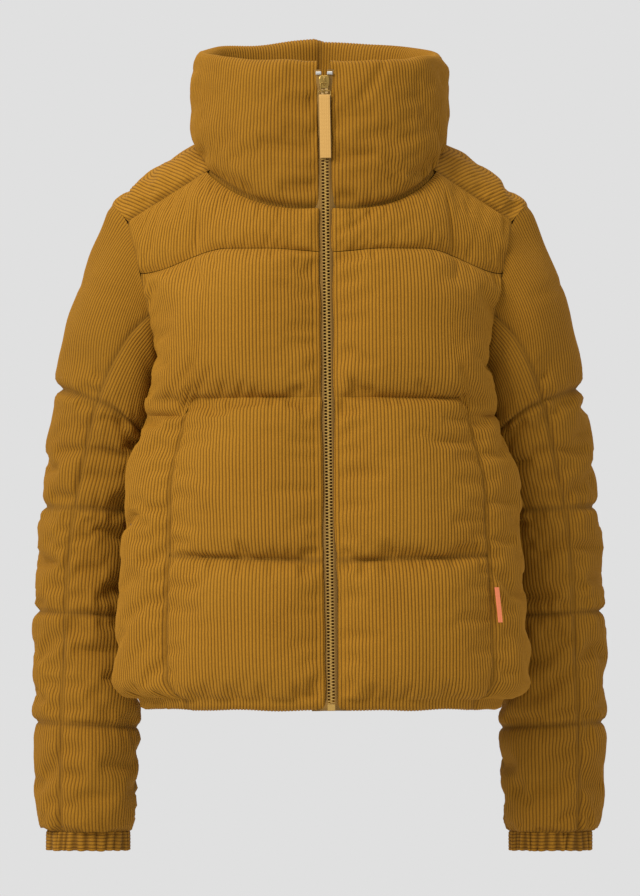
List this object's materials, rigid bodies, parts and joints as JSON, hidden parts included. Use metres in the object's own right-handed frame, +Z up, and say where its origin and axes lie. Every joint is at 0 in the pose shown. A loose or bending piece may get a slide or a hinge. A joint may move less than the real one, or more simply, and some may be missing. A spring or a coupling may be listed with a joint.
{
  "type": "quilted corduroy jacket",
  "caption": "Quilted corduroy jacket with a tall funnel collar, full zip with ribbon pull, side pockets, set-in sleeves and gathered cuffs",
  "frame": {"origin": "centre plane of the jacket at the high point of the shoulders", "axes": "+X to the wearer's left, -Y out of the front, +Z up"},
  "size_m": [0.5716, 0.2679, 0.8091],
  "materials": {
    "corduroy": "matte",
    "corduroy_shade": "matte",
    "lining": "satin",
    "fill": "matte",
    "zip_tape": "matte",
    "zip_moulding": "satin",
    "zip_metal": "satin",
    "stop_metal": "satin",
    "ribbon": "matte",
    "tab": "matte"
  },
  "bodies": {
    "back_and_collar": {"back_panel": "corduroy", "back_fill_hem": "fill", "back_fill_waist": "fill", "back_fill_upper": "fill", "back_lining": "lining", "body_lining": "lining", "shoulder_yoke": "corduroy", "yoke_fill": "fill", "side_panel_left": "corduroy", "side_fill_left": "fill", "collar_outer_left": "corduroy", "collar_fill_left": "fill", "collar_inner_left": "corduroy_shade", "side_panel_right": "corduroy", "side_fill_right": "fill", "collar_outer_right": "corduroy", "collar_fill_right": "fill", "collar_inner_right": "corduroy_shade", "neck_label": "ribbon", "hanger_loop": "zip_tape"},
    "front_left": {"front_panel_left": "corduroy", "chest_panel_left": "corduroy", "front_yoke_left": "corduroy", "chest_fill_left": "fill", "waist_fill_left": "fill", "hem_fill_left": "fill", "facing_left": "corduroy_shade", "front_lining_left": "lining", "pocket_bag_left": "lining", "zip_tape_left": "zip_tape", "zip_chain_left": "zip_moulding", "top_stop_left": "stop_metal", "pocket_tab": "tab", "retainer_box": "zip_moulding"},
    "front_right": {"front_panel_right": "corduroy", "chest_panel_right": "corduroy", "front_yoke_right": "corduroy", "chest_fill_right": "fill", "waist_fill_right": "fill", "hem_fill_right": "fill", "facing_right": "corduroy_shade", "front_lining_right": "lining", "pocket_bag_right": "lining", "zip_tape_right": "zip_tape", "zip_chain_right": "zip_moulding", "top_stop_right": "stop_metal", "insertion_pin": "zip_moulding"},
    "sleeve_left": {"sleeve_left": "corduroy_shade", "sleeve_fill_upper_left": "fill", "sleeve_fill_lower_left": "fill", "sleeve_lining_left": "lining", "cuff_left": "corduroy_shade"},
    "sleeve_right": {"sleeve_right": "corduroy_shade", "sleeve_fill_upper_right": "fill", "sleeve_fill_lower_right": "fill", "sleeve_lining_right": "lining", "cuff_right": "corduroy_shade"},
    "slider": {"zip_slider": "zip_metal"},
    "puller": {"zip_puller": "zip_metal"},
    "ribbon": {"ribbon_pull": "ribbon"}
  },
  "joints": [
    {"name": "front_left_open", "type": "hinge", "parent": "back_and_collar", "child": "front_left", "pos_m": [0.135, -0.03, -0.02], "axis": [-0.0921, 0.0552, 0.9942], "range_deg": [0, 60], "deforming": ["front_panel_left", "chest_panel_left", "front_yoke_left", "facing_left", "front_lining_left", "pocket_bag_left", "zip_tape_left", "zip_chain_left", "chest_fill_left", "waist_fill_left", "hem_fill_left", "collar_outer_left", "collar_fill_left", "collar_inner_left", "side_fill_left", "side_panel_left"]},
    {"name": "front_right_open", "type": "hinge", "parent": "back_and_collar", "child": "front_right", "pos_m": [-0.135, -0.03, -0.02], "axis": [-0.0921, -0.0552, -0.9942], "range_deg": [0, 60], "deforming": ["front_panel_right", "chest_panel_right", "front_yoke_right", "facing_right", "front_lining_right", "pocket_bag_right", "zip_tape_right", "zip_chain_right", "chest_fill_right", "waist_fill_right", "hem_fill_right", "collar_outer_right", "collar_fill_right", "collar_inner_right", "side_fill_right", "side_panel_right"]},
    {"name": "zip_slide", "type": "slide", "parent": "front_left", "child": "slider", "axis": [0.0117, -0.0497, -0.9987], "range_m": [0, 0.6], "deforming": ["zip_chain_left", "zip_chain_right", "zip_tape_left", "zip_tape_right"]},
    {"name": "pull_flip", "type": "hinge", "parent": "slider", "child": "puller", "pos_m": [0.00468, -0.10932, 0.06617], "axis": [-0.9999, -0.0003, -0.0117], "range_deg": [0, 150]},
    {"name": "ribbon_flip", "type": "hinge", "parent": "puller", "child": "ribbon", "pos_m": [0.00483, -0.10996, 0.05334], "axis": [-0.9999, -0.0003, -0.0117], "range_deg": [0, 110]},
    {"name": "sleeve_left_raise", "type": "hinge", "parent": "back_and_collar", "child": "sleeve_left", "pos_m": [0.205, 0.005, -0.058], "axis": [0, -1, 0], "range_deg": [0, 45], "deforming": ["sleeve_left", "sleeve_lining_left", "sleeve_fill_upper_left"]},
    {"name": "sleeve_right_raise", "type": "hinge", "parent": "back_and_collar", "child": "sleeve_right", "pos_m": [-0.205, 0.005, -0.058], "axis": [0, 1, 0], "range_deg": [0, 45], "deforming": ["sleeve_right", "sleeve_lining_right", "sleeve_fill_upper_right"]}
  ],
  "couplings": [
    {"joint": "front_right_open", "follows": "front_left_open", "ratio": 1},
    {"joint": "zip_slide", "follows": "front_left_open", "m_per_rad": 0.572}
  ]
}
